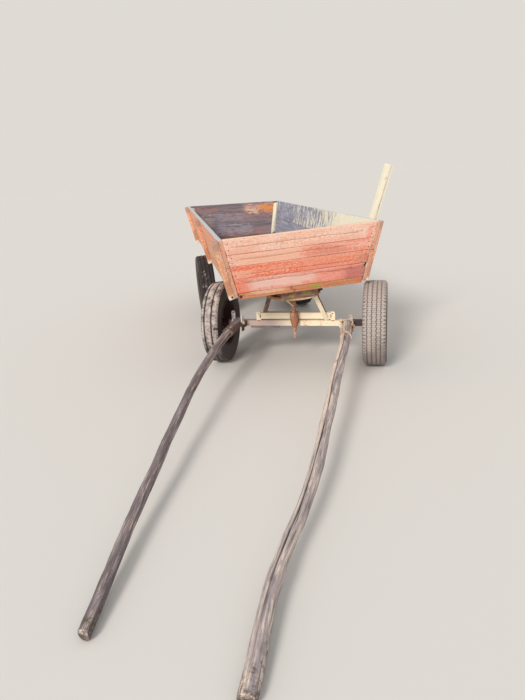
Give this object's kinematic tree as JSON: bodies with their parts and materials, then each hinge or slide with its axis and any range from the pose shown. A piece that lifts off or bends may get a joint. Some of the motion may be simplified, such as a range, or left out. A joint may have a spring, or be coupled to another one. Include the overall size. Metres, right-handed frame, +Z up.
{
  "type": "four-wheeled horse cart",
  "caption": "Flared plank load box on a steel front carriage that turns on a kingpin, with car wheels, two hinged pole shafts and a stake at the side.",
  "frame": {"origin": "on the ground, under the middle of the bounding box of the whole parked cart", "axes": "+Z up; +Y along the load box towards its tail, so that the front faces -Y; +X to the right of someone who stands in front of the cart and faces it"},
  "size_m": [2.0263, 5.0931, 1.3637],
  "materials": {
    "red_wood": "faded, scratched red paint on boards",
    "orange_wood": "worn orange stain on boards",
    "grey_wood": "weathered, bare",
    "pale_wood": "peeled pole, bare and pale",
    "rusty_steel": "rusted",
    "dark_rust": "dark old rust",
    "cream_steel": "dusty cream paint",
    "bare_steel": "worn bare",
    "tyre": "worn, dusty"
  },
  "bodies": {
    "cart_body": {"floor_planks": "grey_wood", "front_sill": "orange_wood", "front_board_1": "red_wood", "front_board_2": "red_wood", "front_board_3": "red_wood", "front_board_4": "red_wood", "left_side_lower": "orange_wood", "left_side_upper": "orange_wood", "right_side_lower": "orange_wood", "right_side_upper": "orange_wood", "tail_sill": "grey_wood", "tail_boards": "grey_wood", "left_battens": "orange_wood", "right_battens": "orange_wood", "front_posts": "pale_wood", "rear_posts": "pale_wood", "beams": "grey_wood", "front_bolster": "grey_wood", "rear_bolster": "grey_wood", "upper_ring": "rusty_steel", "kingpin": "rusty_steel", "rear_axle": "cream_steel", "rear_stands": "rusty_steel", "stake": "pale_wood", "stake_staples": "rusty_steel"},
    "front_carriage": {"lower_ring": "cream_steel", "kingpin_socket": "rusty_steel", "front_axle": "cream_steel", "upper_bar": "cream_steel", "under_plate": "grey_wood", "front_left_strut": "cream_steel", "front_right_strut": "cream_steel", "rear_left_strut": "rusty_steel", "rear_right_strut": "rusty_steel", "left_shaft_clevis": "bare_steel", "right_shaft_clevis": "bare_steel", "shaft_pins": "bare_steel"},
    "left_shaft": {"left_shaft": "pale_wood", "left_shaft_iron": "bare_steel"},
    "right_shaft": {"right_shaft": "pale_wood", "right_shaft_iron": "bare_steel"},
    "front_left_wheel": {"front_left_tyre": "tyre", "front_left_rim": "dark_rust", "front_left_hub": "dark_rust"},
    "front_right_wheel": {"front_right_tyre": "tyre", "front_right_rim": "dark_rust", "front_right_hub": "dark_rust"},
    "rear_left_wheel": {"rear_left_tyre": "tyre", "rear_left_rim": "dark_rust", "rear_left_hub": "dark_rust"},
    "rear_right_wheel": {"rear_right_tyre": "tyre", "rear_right_rim": "dark_rust", "rear_right_hub": "dark_rust"}
  },
  "joints": [
    {"name": "steering", "type": "hinge", "parent": "cart_body", "child": "front_carriage", "pos_m": [0.281, -0.071, 0.535], "axis": [0, 0, 1], "range_deg": [-15, 65]},
    {"name": "left_shaft_lift", "type": "hinge", "parent": "front_carriage", "child": "left_shaft", "pos_m": [-0.11233, 0.07931, 0.322], "axis": [-0.8251, 0.565, 0], "range_deg": [0, 50]},
    {"name": "right_shaft_lift", "type": "hinge", "parent": "front_carriage", "child": "right_shaft", "pos_m": [0.61362, -0.25921, 0.3], "axis": [-0.9205, 0.3907, 0], "range_deg": [0, 50]},
    {"name": "front_left_spin", "type": "hinge", "parent": "front_carriage", "child": "front_left_wheel", "pos_m": [-0.21815, 0.21913, 0.3], "axis": [0.9063, -0.4226, 0], "continuous": true},
    {"name": "front_right_spin", "type": "hinge", "parent": "front_carriage", "child": "front_right_wheel", "pos_m": [0.8241, -0.26688, 0.3], "axis": [0.9063, -0.4226, 0], "continuous": true},
    {"name": "rear_left_spin", "type": "hinge", "parent": "cart_body", "child": "rear_left_wheel", "pos_m": [-0.209, 1.581, 0.3], "axis": [1, 0, 0], "continuous": true},
    {"name": "rear_right_spin", "type": "hinge", "parent": "cart_body", "child": "rear_right_wheel", "pos_m": [0.771, 1.581, 0.3], "axis": [1, 0, 0], "continuous": true}
  ]
}
